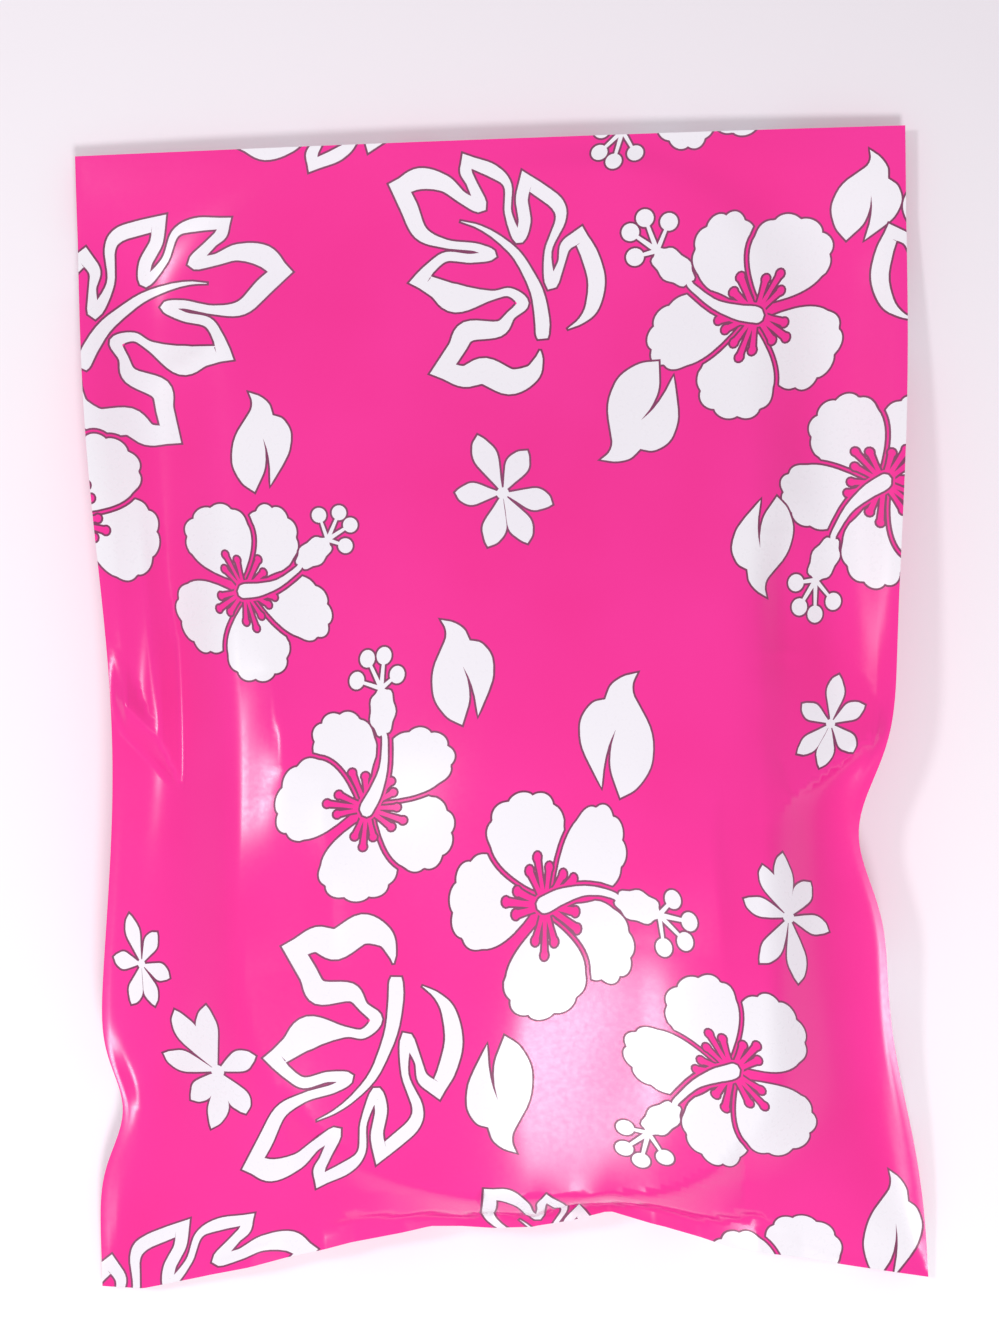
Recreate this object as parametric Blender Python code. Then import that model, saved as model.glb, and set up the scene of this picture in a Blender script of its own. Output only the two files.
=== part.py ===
"""Sealed poly mailer bag: a flat film bag, packed with a soft item, closed by its flap and lying on its back.

The bag is one closed solid. Its front and back panels are two height fields over one outline, joined at the
side welds, the bottom fold and the flap fold. The packed item isn't a piece: only its size shapes the film.
Frame: +X across the bag, +Y towards the flap fold, +Z up through the front panel, z = 0 under the back panel.
"""

import math

import bpy
import numpy as np

MM = 0.001

# The flat bag
BAG_WIDTH = 190.5 * MM
BAG_LENGTH = 266.7 * MM
FILM = 0.075 * MM
WELD_WIDTH = 2.2 * MM
FLAP_LENGTH = 46.0 * MM
FLAP_STEP = 0.4 * MM

# The soft pack that fills the bag out
PACK_WIDTH = 110.0 * MM
PACK_LENGTH = 226.0 * MM
PACK_SHIFT = -1.0 * MM
PACK_END_GAP = 27.5 * MM
PACK_CORNER = 26.0 * MM
PACK_SLACK_CORNER = 50.0 * MM
PACK_HEIGHT = 38.0 * MM
PACK_LOW_END_HEIGHT = 30.0 * MM
PACK_TOP_END_HEIGHT = 7.5 * MM
PACK_FALL_FROM = 69.0 * MM
END_ROUND_SHARE = 0.15

# The pack's fall towards its sides: its crest's place right of the middle, where it starts from there, how wide
# it is, and its share of the height
CREST_SHIFT = 16.0 * MM
SIDE_FALL_FROM = 12.0 * MM
SIDE_FALL_WIDTH = 50.0 * MM
LOW_SIDE_FALL = 0.20
TOP_SIDE_FALL = 0.16

# Long swells in the pack's upper side: wavelength, direction and phase in degrees, and their shared steepness
SWELLS = (
    (61.0 * MM, 24, 23),
    (47.0 * MM, 117, 120),
    (83.0 * MM, 68, 229),
    (34.0 * MM, 152, 69),
)
SWELL_SLOPE = 0.003

# How the free film runs from the pack to the bag's edge: the round at the pack, how hollow it hangs towards the
# bottom and the top, its sag and where that ends below the flap fold, and where the back panel meets the table
PACK_OVERHANG = -1.9 * MM
PACK_ROUND = 6.0 * MM
LOW_HOLLOW = 1.8
TOP_HOLLOW = 2.2
SAG = 3.6 * MM
SAG_END = 40.0 * MM
TOP_PART_FROM = 73.0 * MM
TOP_PART_FULL = 173.0 * MM
BACK_LANDING = 0.81
BACK_HOLLOW = 0.37
EDGE_BLEND = 4
LIFT_BLEND = 6
LEAST_LIFT = 0.01

# Height of the bag's edge over the table
SIDE_EDGE_HEIGHT = 15.0 * MM
BOTTOM_EDGE_HEIGHT = 15.0 * MM
TOP_EDGE_HEIGHT = 7.0 * MM
CORNER_HEIGHT = 2.5 * MM
TOP_CORNER_HEIGHT = 5.0 * MM
SIDE_RISE_SHARE = 1.08
SIDE_RISE_SHARPNESS = 1.2

# How far filling draws the flap fold down, and the skew that it leaves there
END_DRAW_IN = 2.5 * MM
TOP_SKEW = 1.4 * MM

# Dents in the side edges: distance up from the bottom corner, depth, reach along the edge
LEFT_DENTS = (
    (128.0 * MM, 7.5 * MM, 45.0 * MM),
    (43.0 * MM, 5.5 * MM, 9.0 * MM),
)
RIGHT_DENTS = (
    (128.0 * MM, 7.0 * MM, 48.0 * MM),
    (105.0 * MM, 8.2 * MM, 12.0 * MM),
    (64.0 * MM, 6.5 * MM, 25.0 * MM),
)
DENT_FADE = 0.6

# How far the bottom fold is drawn up: distance right of the middle, draw, with straight stretches between
BOTTOM_DRAW = (
    (-95.2 * MM, 3.4 * MM),
    (-85.5 * MM, 3.2 * MM),
    (-60.0 * MM, 8.8 * MM),
    (-42.0 * MM, 13.2 * MM),
    (-19.0 * MM, 17.9 * MM),
    (4.0 * MM, 17.2 * MM),
    (21.5 * MM, 20.3 * MM),
    (34.0 * MM, 16.4 * MM),
    (49.0 * MM, 11.0 * MM),
    (61.0 * MM, 8.6 * MM),
    (95.2 * MM, 1.2 * MM),
)

# Creases in the front panel, in millimetres: a ridge between two points, each given as the distance in from a
# side weld and the distance up from the bottom fold, then its height and its reach on its left and on its right.
# A negative height is a valley.
LEFT, RIGHT = -1, 1
CREASES = (
    (LEFT, (10.5, 168.0), (10.5, 146.0), 3.2, 3.0, 13.0),
    (LEFT, (10.5, 148.0), (12.5, 129.0), 3.2, 3.0, 13.0),
    (LEFT, (0.5, 144.0), (12.5, 129.0), 3.4, 12.0, 2.8),
    (LEFT, (29.0, 156.0), (31.0, 92.0), -1.5, 6.0, 8.0),
    (LEFT, (41.0, 144.0), (44.0, 122.0), 1.4, 9.0, 4.0),
    (LEFT, (36.0, 224.0), (17.0, 213.0), 0.8, 8.0, 4.0),
    (LEFT, (1.0, 46.0), (19.0, 60.0), -1.6, 6.0, 5.0),
    (RIGHT, (0.5, 129.0), (26.0, 111.0), 4.6, 2.8, 14.0),
    (RIGHT, (29.0, 172.0), (30.0, 145.0), -3.2, 4.0, 5.0),
    (RIGHT, (31.0, 145.0), (28.0, 108.0), -2.4, 5.0, 5.0),
    (RIGHT, (44.0, 112.0), (45.0, 76.0), 1.5, 4.0, 14.0),
)
CREASE_END_SHARE = 0.45
CREST_ROUND = 1.0 * MM
CREASE_RIM = 5.0 * MM

# The lip that lies flat along the bottom fold: distance right of the middle, its width, and its rise or fall
LIP = (
    (-70.0 * MM, 0.0 * MM, 0.0 * MM),
    (-61.0 * MM, 3.0 * MM, 0.8 * MM),
    (-52.0 * MM, 5.2 * MM, -0.6 * MM),
    (-43.0 * MM, 3.6 * MM, 0.8 * MM),
    (-37.0 * MM, 6.2 * MM, -0.8 * MM),
    (-25.0 * MM, 3.6 * MM, 0.4 * MM),
    (-12.0 * MM, 2.0 * MM, -0.8 * MM),
    (-5.0 * MM, 4.0 * MM, 0.9 * MM),
    (5.0 * MM, 2.2 * MM, -0.8 * MM),
    (13.0 * MM, 4.5 * MM, 1.0 * MM),
    (21.0 * MM, 2.0 * MM, -0.6 * MM),
    (31.0 * MM, 5.0 * MM, 0.8 * MM),
    (42.0 * MM, 4.5 * MM, -0.8 * MM),
    (55.0 * MM, 9.0 * MM, 1.2 * MM),
    (66.0 * MM, 2.0 * MM, -0.4 * MM),
    (74.0 * MM, 0.0 * MM, 0.0 * MM),
)
LIP_STEP = 3.0 * MM
LIP_FADE = 9.0 * MM
LIP_SLOPE = 0.2

# Grid cells of each panel
CELLS_ACROSS = 44
CELLS_ALONG = 60
SMOOTH_UP_TO = math.radians(50)

FILM_PINK = (0.84, 0.018, 0.27, 1.0)
FILM_ROUGHNESS = 0.36


def smoothstep(x):
    """0 below 0, 1 above 1, and smooth between."""
    x = np.clip(x, 0.0, 1.0)
    return x * x * (3.0 - 2.0 * x)


def bump(distance, reach):
    """A bell curve of height 1 whose standard deviation is reach."""
    return np.exp(-0.5 * (distance / reach) ** 2)


def film_grid():
    """Film coordinates of each grid point: across from the middle, and up from the bottom fold."""
    half = BAG_WIDTH / 2
    inner = np.linspace(-half + WELD_WIDTH, half - WELD_WIDTH, CELLS_ACROSS - 1)
    across = np.concatenate(([-half], inner, [half]))
    flap_edge = BAG_LENGTH - FLAP_LENGTH
    flap_cells = max(2, round(CELLS_ALONG * FLAP_LENGTH / BAG_LENGTH))
    below = np.linspace(0.0, flap_edge - FLAP_STEP, CELLS_ALONG - flap_cells)
    above = np.linspace(flap_edge, BAG_LENGTH, flap_cells + 1)
    return np.meshgrid(across, np.concatenate((below, above)))


def outline_grid(across, up):
    """Where each film point lies seen from above, as x and y, with the dents and the skew."""
    share = across / (BAG_WIDTH / 2)
    left = sum(depth * bump(up - at, reach) for at, depth, reach in LEFT_DENTS)
    right = sum(depth * bump(up - at, reach) for at, depth, reach in RIGHT_DENTS)
    drawn = np.where(share < 0, left, right)
    x = across - drawn * share * np.abs(share) ** DENT_FADE
    low = np.interp(across, *zip(*BOTTOM_DRAW))
    high = TOP_SKEW * share - END_DRAW_IN
    t = up / BAG_LENGTH
    return x, up + low * (1 - t) ** 3 + high * t**2 - BAG_LENGTH / 2


def edge_height(across, up):
    """Height of the bag's edge over the table, carried smoothly across the panel between opposite edges."""
    share = np.clip(np.abs(across) / (BAG_WIDTH / 2), 0.0, 1.0)
    t = np.clip(up / BAG_LENGTH, 0.0, 1.0)
    rise = np.sin(math.pi * np.clip(t * SIDE_RISE_SHARE, 0, 1)) ** SIDE_RISE_SHARPNESS
    side = SIDE_EDGE_HEIGHT * rise + CORNER_HEIGHT * (1 - t) + TOP_CORNER_HEIGHT * t
    middle = 1 - share**2
    bottom = CORNER_HEIGHT + (BOTTOM_EDGE_HEIGHT - CORNER_HEIGHT) * middle
    top = TOP_CORNER_HEIGHT + (TOP_EDGE_HEIGHT - TOP_CORNER_HEIGHT) * middle
    least = FILM / BAG_LENGTH
    weights = [1 / (d + least) ** 2 for d in (1 - share, t, 1 - t)]
    return (side * weights[0] + bottom * weights[1] + top * weights[2]) / sum(weights)


def pack_inset(x, y):
    """Distance in from the pack's rounded outline, negative outside it."""
    middle_y = PACK_END_GAP + (PACK_LENGTH - BAG_LENGTH) / 2
    corner = np.where((x < PACK_SHIFT) & (y < middle_y), PACK_SLACK_CORNER, PACK_CORNER)
    dx = np.abs(x - PACK_SHIFT) - PACK_WIDTH / 2 + corner
    dy = np.abs(y - middle_y) - PACK_LENGTH / 2 + corner
    outside = np.hypot(np.maximum(dx, 0), np.maximum(dy, 0)) + np.minimum(np.maximum(dx, dy), 0)
    return corner - outside


def top_part(y):
    """0 in the bag's lower part and 1 in its upper part."""
    up = y + BAG_LENGTH / 2
    return smoothstep((up - TOP_PART_FROM) / (TOP_PART_FULL - TOP_PART_FROM))


def pack_top(x, y):
    """Height of the pack's upper side, with its falls to both ends and sides and its swells."""
    along = y + BAG_LENGTH / 2 - PACK_END_GAP
    to_top = smoothstep((along - PACK_FALL_FROM) / (PACK_LENGTH - PACK_FALL_FROM))
    to_low = smoothstep((PACK_FALL_FROM - along) / PACK_FALL_FROM)
    height = PACK_HEIGHT - (PACK_HEIGHT - PACK_TOP_END_HEIGHT) * to_top
    height = height - (PACK_HEIGHT - PACK_LOW_END_HEIGHT) * to_low
    side_fall = LOW_SIDE_FALL + (TOP_SIDE_FALL - LOW_SIDE_FALL) * top_part(y)
    height = height * (1 - side_fall * smoothstep((np.abs(x - CREST_SHIFT) - SIDE_FALL_FROM) / SIDE_FALL_WIDTH))
    for length, direction, phase in SWELLS:
        run = x * math.cos(math.radians(direction)) + y * math.sin(math.radians(direction))
        height = height + length * SWELL_SLOPE * np.sin(2 * math.pi * run / length + math.radians(phase))
    return height


def end_share(x, y):
    """How far the film is lifted over the pack's low end: 1 on the pack, and 0 at the bottom fold."""
    corner = np.where(x < PACK_SHIFT, PACK_SLACK_CORNER, PACK_CORNER)
    beside = np.clip(np.abs(x - PACK_SHIFT) - PACK_WIDTH / 2 + corner, 0, corner)
    low_end = PACK_END_GAP - BAG_LENGTH / 2 + corner - np.sqrt(corner**2 - beside**2)
    past = np.maximum(low_end - y, 0) / (low_end - y[:1])
    fall = np.hypot(past, END_ROUND_SHARE) - END_ROUND_SHARE
    return 1 - fall / (math.hypot(1, END_ROUND_SHARE) - END_ROUND_SHARE)


def smaller(a, b):
    """The smaller of two shares, with a soft change from one to the other."""
    parts = [np.maximum(share, LEAST_LIFT) ** -LIFT_BLEND for share in (a, b)]
    return (sum(parts) - 1) ** (-1 / LIFT_BLEND)


def fill_share(x, y, across, up):
    """How far the film is lifted: 1 on the pack, 0 at the bag's edge, and taut between."""
    edges = (BAG_WIDTH / 2 - np.abs(across), up, BAG_LENGTH - up)
    to_edge = sum((np.maximum(d, 0) + FILM) ** -EDGE_BLEND for d in edges) ** (-1 / EDGE_BLEND)
    away = np.maximum(PACK_OVERHANG - pack_inset(x, y), 0)
    return to_edge / (to_edge + np.hypot(away, PACK_ROUND) - PACK_ROUND)


def crease(across, up, side, start, end, height, reach_left, reach_right):
    """A crisp ridge or a soft valley along a line on the film, fading at both ends."""
    weld = side * BAG_WIDTH / 2
    ax, ay = weld - side * start[0] * MM, start[1] * MM
    bx, by = weld - side * end[0] * MM, end[1] * MM
    length = math.hypot(bx - ax, by - ay)
    ux, uy = (bx - ax) / length, (by - ay) / length
    along = ((across - ax) * ux + (up - ay) * uy) / length
    off = (up - ay) * ux - (across - ax) * uy
    reach = np.where(off > 0, reach_left, reach_right) * MM
    past = np.maximum(np.maximum(-along, along - 1), 0) * length
    fade = CREASE_END_SHARE + (1 - CREASE_END_SHARE) * np.sin(math.pi * np.clip(along, 0, 1))
    away = np.hypot(off, past)
    crest = np.exp(-(np.hypot(away, CREST_ROUND) - CREST_ROUND) / reach)
    return height * MM * fade * (crest if height > 0 else bump(away, reach))


def panel_heights(x, y, across, up):
    """Heights of the front and the back panel at each grid point."""
    edge = edge_height(across, up)
    fill = fill_share(x, y, across, up)
    high = top_part(y)
    hollow = LOW_HOLLOW + (TOP_HOLLOW - LOW_HOLLOW) * high
    sag = SAG * (4 * fill * (1 - fill)) ** 2 * high * smoothstep((BAG_LENGTH - up) / SAG_END)
    inset = np.minimum(np.minimum(BAG_WIDTH / 2 - np.abs(across), up), BAG_LENGTH - up)
    folds = sum(crease(across, up, *line) for line in CREASES) * smoothstep(inset / CREASE_RIM)
    lift = smaller(fill**hollow, end_share(x, y))
    front = edge + (pack_top(x, y) - edge) * lift - sag + folds
    back = edge * (1 - smoothstep(fill / BACK_LANDING) ** BACK_HOLLOW)
    front = np.maximum(front, back)
    knots, widths, rises = zip(*LIP)
    width = np.interp(across, knots, widths)
    flat = (1 - smoothstep((up - width) / LIP_STEP)) * (width > 0)
    front = front + (edge[:1] + LIP_SLOPE * up - front) * flat
    rise = np.interp(across, knots, rises) * np.exp(-((up / LIP_FADE) ** 2))
    flap = np.where(up >= BAG_LENGTH - FLAP_LENGTH, FLAP_STEP, 0.0)
    flap = flap * smoothstep(inset / WELD_WIDTH) * (1 - fill)
    back = np.maximum(back + rise - FILM - flap, 0.0)
    return np.maximum(front + rise, back + FILM) + FILM, back


def bag_mesh(name):
    """The two panels as grids, joined round their shared edge by a strip as thick as the weld."""
    across, up = film_grid()
    x, y = outline_grid(across, up)
    front, back = panel_heights(x, y, across, up)
    x = x - (x.min() + x.max()) / 2
    y = y - (y.min() + y.max()) / 2
    rows, columns = across.shape
    top = np.stack((x, y, front), axis=-1).reshape(-1, 3)
    under = np.stack((x, y, back), axis=-1).reshape(-1, 3)
    count = rows * columns
    index = np.arange(count).reshape(rows, columns)
    faces = []
    for r in range(rows - 1):
        for c in range(columns - 1):
            a, b = int(index[r, c]), int(index[r, c + 1])
            d, e = int(index[r + 1, c]), int(index[r + 1, c + 1])
            faces.append((a, b, e, d))
            faces.append((a + count, d + count, e + count, b + count))
    rim = [*index[0, :-1], *index[:-1, -1], *index[-1, :0:-1], *index[:0:-1, 0]]
    for here, following in zip(rim, rim[1:] + rim[:1]):
        here, following = int(here), int(following)
        faces.append((following, here, here + count, following + count))
    mesh = bpy.data.meshes.new(name)
    mesh.from_pydata(np.concatenate((top, under)).tolist(), [], faces)
    mesh.validate()
    mesh.shade_smooth()
    mesh.set_sharp_from_angle(angle=SMOOTH_UP_TO)
    return mesh


def film_material():
    """Glossy pink polyethylene film."""
    material = bpy.data.materials.new("pink_film")
    material.use_nodes = True
    shader = material.node_tree.nodes["Principled BSDF"]
    shader.inputs["Base Color"].default_value = FILM_PINK
    shader.inputs["Roughness"].default_value = FILM_ROUGHNESS
    shader.inputs["Metallic"].default_value = 0.0
    return material


def main():
    for old in list(bpy.data.objects):
        bpy.data.objects.remove(old)
    mesh = bag_mesh("mailer_bag")
    mesh.materials.append(film_material())
    bag = bpy.data.objects.new("mailer_bag", mesh)
    bpy.context.scene.collection.objects.link(bag)


main()
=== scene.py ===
import math

import bpy
import numpy as np
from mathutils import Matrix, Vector, kdtree
from mathutils.geometry import delaunay_2d_cdt


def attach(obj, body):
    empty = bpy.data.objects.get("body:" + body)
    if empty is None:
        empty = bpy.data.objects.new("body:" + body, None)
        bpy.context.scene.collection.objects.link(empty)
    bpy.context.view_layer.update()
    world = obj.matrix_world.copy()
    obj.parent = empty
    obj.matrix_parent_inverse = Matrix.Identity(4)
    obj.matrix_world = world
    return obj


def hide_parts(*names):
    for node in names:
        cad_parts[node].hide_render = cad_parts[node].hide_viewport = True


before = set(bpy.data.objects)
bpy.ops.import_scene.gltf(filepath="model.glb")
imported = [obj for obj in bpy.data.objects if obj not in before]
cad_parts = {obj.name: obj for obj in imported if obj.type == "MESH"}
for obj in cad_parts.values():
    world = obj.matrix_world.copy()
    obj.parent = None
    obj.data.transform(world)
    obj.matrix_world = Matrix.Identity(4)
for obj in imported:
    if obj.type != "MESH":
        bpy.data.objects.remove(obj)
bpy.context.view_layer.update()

MM = 0.001

# The flat bag
BAG_WIDTH = 190.5 * MM
BAG_LENGTH = 266.7 * MM
FILM = 0.075 * MM
WELD_WIDTH = 2.2 * MM
FLAP_LENGTH = 46.0 * MM
FLAP_STEP = 0.4 * MM

# The soft pack that fills the bag out
PACK_WIDTH = 110.0 * MM
PACK_LENGTH = 226.0 * MM
PACK_SHIFT = -1.0 * MM
PACK_END_GAP = 27.5 * MM
PACK_CORNER = 26.0 * MM
PACK_SLACK_CORNER = 50.0 * MM
PACK_HEIGHT = 38.0 * MM
PACK_LOW_END_HEIGHT = 30.0 * MM
PACK_TOP_END_HEIGHT = 7.5 * MM
PACK_FALL_FROM = 69.0 * MM
END_ROUND_SHARE = 0.15
CORNER_SHARE = 0.88

# The pack's fall towards its sides: its crest's place right of the middle, where it starts from there, how
# wide it is, and its share of the height
CREST_SHIFT = 16.0 * MM
SIDE_FALL_FROM = 12.0 * MM
SIDE_FALL_WIDTH = 50.0 * MM
LOW_SIDE_FALL = 0.20
TOP_SIDE_FALL = 0.16

# Long swells in the pack's upper side: wavelength, direction and phase in degrees, and their shared steepness
SWELLS = (
    (61.0 * MM, 24, 23),
    (47.0 * MM, 117, 120),
    (83.0 * MM, 68, 229),
    (34.0 * MM, 152, 69),
)
SWELL_SLOPE = 0.003

# How the free film runs from the pack to the bag's edge: the round at the pack, how hollow it hangs towards
# the bottom and the top, its sag and where that ends below the flap fold, and where the back panel meets the
# table
PACK_OVERHANG = -1.9 * MM
PACK_ROUND = 6.0 * MM
LOW_HOLLOW = 1.8
TOP_HOLLOW = 2.2
SAG = 3.6 * MM
SAG_END = 40.0 * MM
TOP_PART_FROM = 73.0 * MM
TOP_PART_FULL = 173.0 * MM
BACK_LANDING = 0.81
BACK_HOLLOW = 0.37
EDGE_BLEND = 4
LIFT_BLEND = 6
LEAST_LIFT = 0.01

# Height of the bag's edge over the table
SIDE_EDGE_HEIGHT = 15.0 * MM
BOTTOM_EDGE_HEIGHT = 15.0 * MM
TOP_EDGE_HEIGHT = 7.0 * MM
CORNER_HEIGHT = 2.5 * MM
TOP_CORNER_HEIGHT = 5.0 * MM
SIDE_RISE_SHARE = 1.08
SIDE_RISE_SHARPNESS = 1.2

# How far filling draws the flap fold down, and the skew that it leaves there
END_DRAW_IN = 2.5 * MM
TOP_SKEW = 1.4 * MM

# Dents in the side edges: distance up from the bottom corner, depth, reach along the edge
LEFT_DENTS = (
    (128.0 * MM, 7.5 * MM, 45.0 * MM),
    (43.0 * MM, 5.5 * MM, 9.0 * MM),
)
RIGHT_DENTS = (
    (128.0 * MM, 7.0 * MM, 48.0 * MM),
    (105.0 * MM, 8.2 * MM, 12.0 * MM),
    (64.0 * MM, 6.5 * MM, 25.0 * MM),
)
DENT_FADE = 0.6

# How far the bottom fold is drawn up: distance right of the middle, draw, with straight stretches between
BOTTOM_DRAW = (
    (-95.2 * MM, 3.4 * MM),
    (-85.5 * MM, 3.2 * MM),
    (-60.0 * MM, 8.8 * MM),
    (-42.0 * MM, 13.2 * MM),
    (-19.0 * MM, 17.9 * MM),
    (4.0 * MM, 17.2 * MM),
    (21.5 * MM, 20.3 * MM),
    (34.0 * MM, 16.4 * MM),
    (49.0 * MM, 11.0 * MM),
    (61.0 * MM, 8.6 * MM),
    (95.2 * MM, 1.2 * MM),
)

# Creases in the front panel, in millimetres: a ridge between two points, each given as the distance in from a
# side weld and the distance up from the bottom fold, then its height and its reach on its left and on its
# right. A negative height is a valley.
LEFT, RIGHT = -1, 1
CREASES = (
    (LEFT, (29.0, 156.0), (31.0, 92.0), -1.5, 6.0, 8.0),
    (LEFT, (41.0, 144.0), (44.0, 122.0), 1.4, 9.0, 4.0),
    (LEFT, (36.0, 224.0), (17.0, 213.0), 0.8, 8.0, 4.0),
    (LEFT, (1.0, 46.0), (19.0, 60.0), -1.6, 6.0, 5.0),
    (LEFT, (54.0, 116.0), (56.0, 74.0), 2.0, 10.0, 18.0),
    (RIGHT, (0.5, 129.0), (22.5, 113.0), 5.0, 2.8, 9.5),
    (RIGHT, (29.0, 172.0), (30.0, 145.0), -3.2, 4.0, 5.0),
    (RIGHT, (31.0, 145.0), (28.0, 108.0), -2.4, 5.0, 5.0),
    (RIGHT, (44.0, 112.0), (45.0, 76.0), 1.5, 4.0, 14.0),
)
CREASE_END_SHARE = 0.45
CREASE_RIM = 5.0 * MM
CREST_ROUND = 1.0 * MM

# A pinched corner of film by the left weld: its tip, and its two crests' directions from there in degrees,
# its height, its gentle reach, the width of its steep side, the round of its crests, and how far from the tip
# it fades
PINCH_TIP = (-83.0 * MM, 130.0 * MM)
PINCH_DIRECTIONS = (92.0, 136.0)
PINCH_HEIGHT = 4.2 * MM
PINCH_GENTLE = 7.0 * MM
PINCH_STEEP = 5.0 * MM
PINCH_ROUND = 0.8 * MM
PINCH_FADE = 30.0 * MM

# The lip that lies flat along the bottom fold: distance right of the middle, its width, and its rise or fall
LIP = (
    (-70.0 * MM, 0.0 * MM, 0.0 * MM),
    (-61.0 * MM, 3.0 * MM, 0.8 * MM),
    (-52.0 * MM, 5.2 * MM, -0.6 * MM),
    (-43.0 * MM, 3.6 * MM, 0.8 * MM),
    (-37.0 * MM, 6.2 * MM, -0.8 * MM),
    (-25.0 * MM, 3.6 * MM, 0.4 * MM),
    (-12.0 * MM, 2.0 * MM, -0.8 * MM),
    (-5.0 * MM, 4.0 * MM, 0.9 * MM),
    (5.0 * MM, 2.2 * MM, -0.8 * MM),
    (13.0 * MM, 4.5 * MM, 1.0 * MM),
    (21.0 * MM, 2.0 * MM, -0.6 * MM),
    (31.0 * MM, 5.0 * MM, 0.8 * MM),
    (42.0 * MM, 4.5 * MM, -0.8 * MM),
    (55.0 * MM, 9.0 * MM, 1.2 * MM),
    (66.0 * MM, 2.0 * MM, -0.4 * MM),
    (74.0 * MM, 0.0 * MM, 0.0 * MM),
)
LIP_STEP = 3.0 * MM
LIP_FADE = 9.0 * MM
LIP_SLOPE = 0.2

# Meshing of the printed film: its grid on the front and behind, how far grid points stay from lines of the
# print, how far lines of the print may leave their curves as a share of the grid's step, the distance in
# millimetres at which points merge, and what counts as on the rim
FRONT_STEP = 1.7 * MM
BACK_STEP = 3.2 * MM
CLEAR_OF_LINES = 0.4 * MM
BEND_SHARE = 0.022
MERGE = 1e-5
TINY = 1e-9
NEVER_ZERO = 1e-12

# How far apart two points are taken for a slope
SLOPE_REACH = 0.3 * MM

# The glued flap under the back panel: where it ends below the fold, its gap to the panel and its thickness
FLAP_END = 0.8 * MM
FLAP_GAP = 0.06 * MM
FLAP_THICKNESS = 0.15 * MM

# How far apart the print repeats along the film, and how far it shifts across in that
REPEAT = 236.0 * MM
REPEAT_SHIFT = -4.0 * MM

# The view: overhead, with the picture's scale taken at the height of the bag's edge
IMAGE_HEIGHT = 1333
PIXELS_PER_METRE = 4400.0
SCALE_HEIGHT = 10.0 * MM
CAMERA_HEIGHT = 620.0 * MM
CAMERA_OVER = (-0.6 * MM, 10.4 * MM)
CAMERA_ROLL = math.radians(-1.3)
SENSOR = 36.0

# The search for the film point at a place in the view: grid, reach of its slopes, rounds, longest step
VIEW_STEP = 1.8 * MM
VIEW_REACH = 1.0 * MM
VIEW_ROUNDS = 8
VIEW_LONGEST = 8.0 * MM

# Lamps that aim at the bag's middle: name, place, diameter, watts
LAMPS = (
    ("key", (0.10, -0.50, 0.95), 0.26, 4.8),
    ("left", (-0.48, 0.15, 0.82), 0.12, 1.9),
)
WORLD_LIGHT = 0.51

# Linear colours of the film and its inks, each with the shade that it clouds over to
FILM_PINK = (0.96, 0.032, 0.345)
PRINT_WHITE = (0.92, 0.88, 0.94)
PRINT_LINE = (0.20, 0.035, 0.10)
FILM_SHADE = (0.93, 0.026, 0.31)
PRINT_SHADE = (0.90, 0.855, 0.925)
LINE_SHADE = (0.26, 0.06, 0.15)

# The floor: its half side, how far it lies under the bag, and the light painted on it as a glow that the
# camera
# and reflections see: more towards one side, the lower left, and more between two distances from the bag
FLOOR_HALF = 3.0
FLOOR_DROP = 0.2 * MM
FLOOR_ROUGHNESS = 0.8
FLOOR_COLOUR = (0.86, 0.80, 0.86)
FLOOR_PAINTED_GLOW = (1.0, 0.97, 1.0)
FLOOR_PAINTED_LIGHT_WAY = (-2.0, -5.0, 0.0)
FLOOR_SIDE_PAINTED_LIGHT = (0.0, 0.22)
FLOOR_FAR = (0.25, 1.6)
FLOOR_FAR_PAINTED_LIGHT = 0.42

# The film's surface: lowest and highest roughness and share of the ripples for the film, the white ink and
# the line, then sizes in 1/m for its noises, and depths
FILM_FINISH = (0.21, 0.25, 1.0)
WHITE_FINISH = (0.26, 0.32, 0.7)
LINE_FINISH = (0.34, 0.46, 0.7)
FILM_IOR = 1.45
NOISE_DETAIL = 2.0
STREAK_STRETCH = (1.0, 0.06, 1.0)
STREAK_SCALE = 420.0
STREAK_DEPTH = 0.003 * MM
CLOUD_SCALE = 26.0
RIPPLE_SCALE = 38.0
RIPPLE_DEPTH = 0.10 * MM
GRAIN_SCALE = 900.0
GRAIN_DEPTH = 0.0006 * MM


def smoothstep(x):
    """0 below 0, 1 above 1, and smooth between."""
    x = np.clip(x, 0.0, 1.0)
    return x * x * (3.0 - 2.0 * x)


def bump(distance, reach):
    """A bell curve of height 1 whose standard deviation is reach."""
    return np.exp(-0.5 * (distance / reach) ** 2)


def outline_grid(across, up):
    """Where each film point lies seen from above, as x and y, with the dents and the skew."""
    share = across / (BAG_WIDTH / 2)
    left = sum(depth * bump(up - at, reach) for at, depth, reach in LEFT_DENTS)
    right = sum(depth * bump(up - at, reach) for at, depth, reach in RIGHT_DENTS)
    drawn = np.where(share < 0, left, right)
    x = across - drawn * share * np.abs(share) ** DENT_FADE
    low = np.interp(across, *zip(*BOTTOM_DRAW))
    high = TOP_SKEW * share - END_DRAW_IN
    t = up / BAG_LENGTH
    return x, up + low * (1 - t) ** 3 + high * t**2 - BAG_LENGTH / 2


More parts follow.
